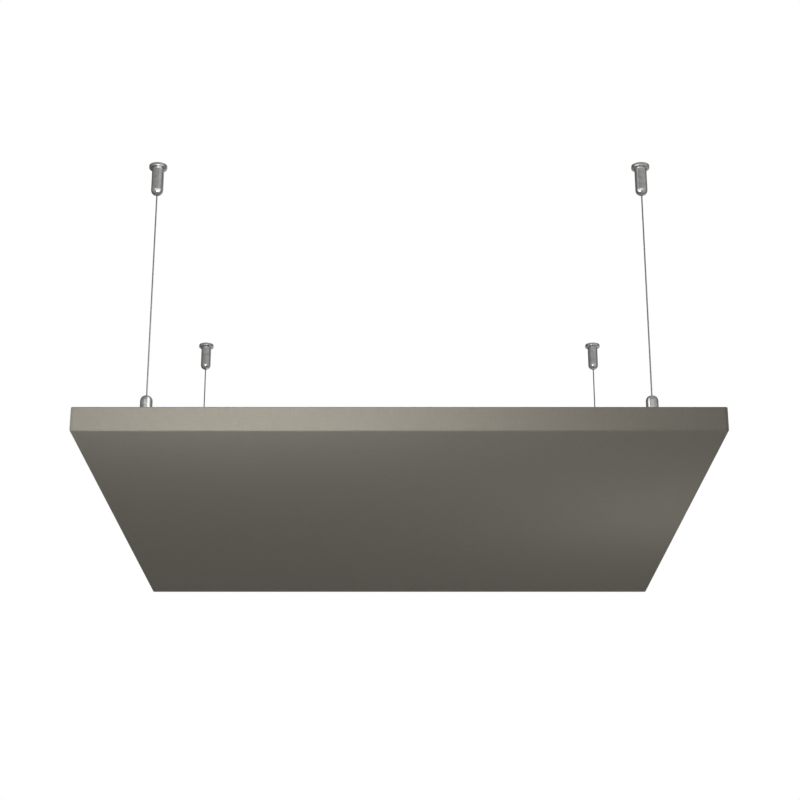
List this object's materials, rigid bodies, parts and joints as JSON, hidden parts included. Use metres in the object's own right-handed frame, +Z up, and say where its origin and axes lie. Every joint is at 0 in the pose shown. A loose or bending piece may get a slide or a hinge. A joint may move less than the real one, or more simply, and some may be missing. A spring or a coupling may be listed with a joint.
{
  "type": "suspended acoustic panel",
  "caption": "Square cloth-wrapped sound absorber that hangs level below a ceiling on thin steel wires with domed metal fittings.",
  "frame": {"origin": "on the ceiling plane, midway between the ceiling fixings", "axes": "+Z up, square to the ceiling; +X to the right of somebody who looks at the front edge; +Y towards the rear edge"},
  "size_m": [0.6, 0.6, 0.3],
  "materials": {
    "cloth": "matt woven, olive grey",
    "fleece": "matt nonwoven, dark grey",
    "core_wool": "matt fibre board",
    "nickel": "polished nickel plate",
    "cable_steel": "bright stranded steel",
    "bright_steel": "machined",
    "galvanised": "galvanised",
    "mill_aluminium": "mill finish",
    "spline_plastic": "matt"
  },
  "bodies": {
    "ceiling_fittings": {"ceiling_bases": "nickel", "ceiling_caps": "nickel"},
    "upper_swivel_front_left": {"ceiling_seat_front_left": "bright_steel"},
    "wire_front_left": {"wire_stop_front_left": "bright_steel", "wire_front_left": "cable_steel"},
    "upper_swivel_front_right": {"ceiling_seat_front_right": "bright_steel"},
    "wire_front_right": {"wire_stop_front_right": "bright_steel", "wire_front_right": "cable_steel"},
    "upper_swivel_rear_left": {"ceiling_seat_rear_left": "bright_steel"},
    "wire_rear_left": {"wire_stop_rear_left": "bright_steel", "wire_rear_left": "cable_steel"},
    "upper_swivel_rear_right": {"ceiling_seat_rear_right": "bright_steel"},
    "wire_rear_right": {"wire_stop_rear_right": "bright_steel", "wire_rear_right": "cable_steel"},
    "lower_clamp": {"wire_clamp_front_left": "bright_steel"},
    "lower_swivel": {"panel_seat_front_left": "bright_steel"},
    "panel": {"panel_bases": "nickel", "panel_caps": "nickel", "panel_seats": "bright_steel", "wire_clamps": "bright_steel", "corner_keys": "mill_aluminium", "fabric_cover": "cloth", "absorber_core": "core_wool", "back_fleece": "fleece", "cross_bar_left": "galvanised", "cross_bar_right": "galvanised", "frame_rail_front": "mill_aluminium", "retaining_spline_front": "spline_plastic", "frame_rail_right": "mill_aluminium", "retaining_spline_right": "spline_plastic", "frame_rail_rear": "mill_aluminium", "retaining_spline_rear": "spline_plastic", "frame_rail_left": "mill_aluminium", "retaining_spline_left": "spline_plastic"}
  },
  "joints": [
    {"name": "sway_front_back", "type": "hinge", "parent": "ceiling_fittings", "child": "upper_swivel_front_left", "pos_m": [-0.24, -0.24, -0.0277], "axis": [1, 0, 0], "range_deg": [-5, 5]},
    {"name": "sway_left_right", "type": "hinge", "parent": "upper_swivel_front_left", "child": "wire_front_left", "pos_m": [-0.24, -0.24, -0.0277], "axis": [0, 1, 0], "range_deg": [-5, 5]},
    {"name": "height_adjust", "type": "slide", "parent": "wire_front_left", "child": "lower_clamp", "axis": [0, 0, 1], "range_m": [0, 0.01]},
    {"name": "panel_level_left_right", "type": "hinge", "parent": "lower_clamp", "child": "lower_swivel", "pos_m": [-0.24, -0.24, -0.2488], "axis": [0, 1, 0], "range_deg": [-5, 5]},
    {"name": "panel_level_front_back", "type": "hinge", "parent": "lower_swivel", "child": "panel", "pos_m": [-0.24, -0.24, -0.2488], "axis": [1, 0, 0], "range_deg": [-5, 5]},
    {"name": "swivel_front_back_front_right", "type": "hinge", "parent": "ceiling_fittings", "child": "upper_swivel_front_right", "pos_m": [0.24, -0.24, -0.0277], "axis": [1, 0, 0], "range_deg": [-5, 5]},
    {"name": "swivel_left_right_front_right", "type": "hinge", "parent": "upper_swivel_front_right", "child": "wire_front_right", "pos_m": [0.24, -0.24, -0.0277], "axis": [0, 1, 0], "range_deg": [-5, 5]},
    {"name": "swivel_front_back_rear_left", "type": "hinge", "parent": "ceiling_fittings", "child": "upper_swivel_rear_left", "pos_m": [-0.24, 0.24, -0.0277], "axis": [1, 0, 0], "range_deg": [-5, 5]},
    {"name": "swivel_left_right_rear_left", "type": "hinge", "parent": "upper_swivel_rear_left", "child": "wire_rear_left", "pos_m": [-0.24, 0.24, -0.0277], "axis": [0, 1, 0], "range_deg": [-5, 5]},
    {"name": "swivel_front_back_rear_right", "type": "hinge", "parent": "ceiling_fittings", "child": "upper_swivel_rear_right", "pos_m": [0.24, 0.24, -0.0277], "axis": [1, 0, 0], "range_deg": [-5, 5]},
    {"name": "swivel_left_right_rear_right", "type": "hinge", "parent": "upper_swivel_rear_right", "child": "wire_rear_right", "pos_m": [0.24, 0.24, -0.0277], "axis": [0, 1, 0], "range_deg": [-5, 5]}
  ],
  "couplings": [
    {"joint": "panel_level_left_right", "follows": "sway_left_right", "ratio": -1},
    {"joint": "panel_level_front_back", "follows": "sway_front_back", "ratio": -1},
    {"joint": "swivel_front_back_front_right", "follows": "sway_front_back", "ratio": 1},
    {"joint": "swivel_left_right_front_right", "follows": "sway_left_right", "ratio": 1},
    {"joint": "swivel_front_back_rear_left", "follows": "sway_front_back", "ratio": 1},
    {"joint": "swivel_left_right_rear_left", "follows": "sway_left_right", "ratio": 1},
    {"joint": "swivel_front_back_rear_right", "follows": "sway_front_back", "ratio": 1},
    {"joint": "swivel_left_right_rear_right", "follows": "sway_left_right", "ratio": 1}
  ]
}
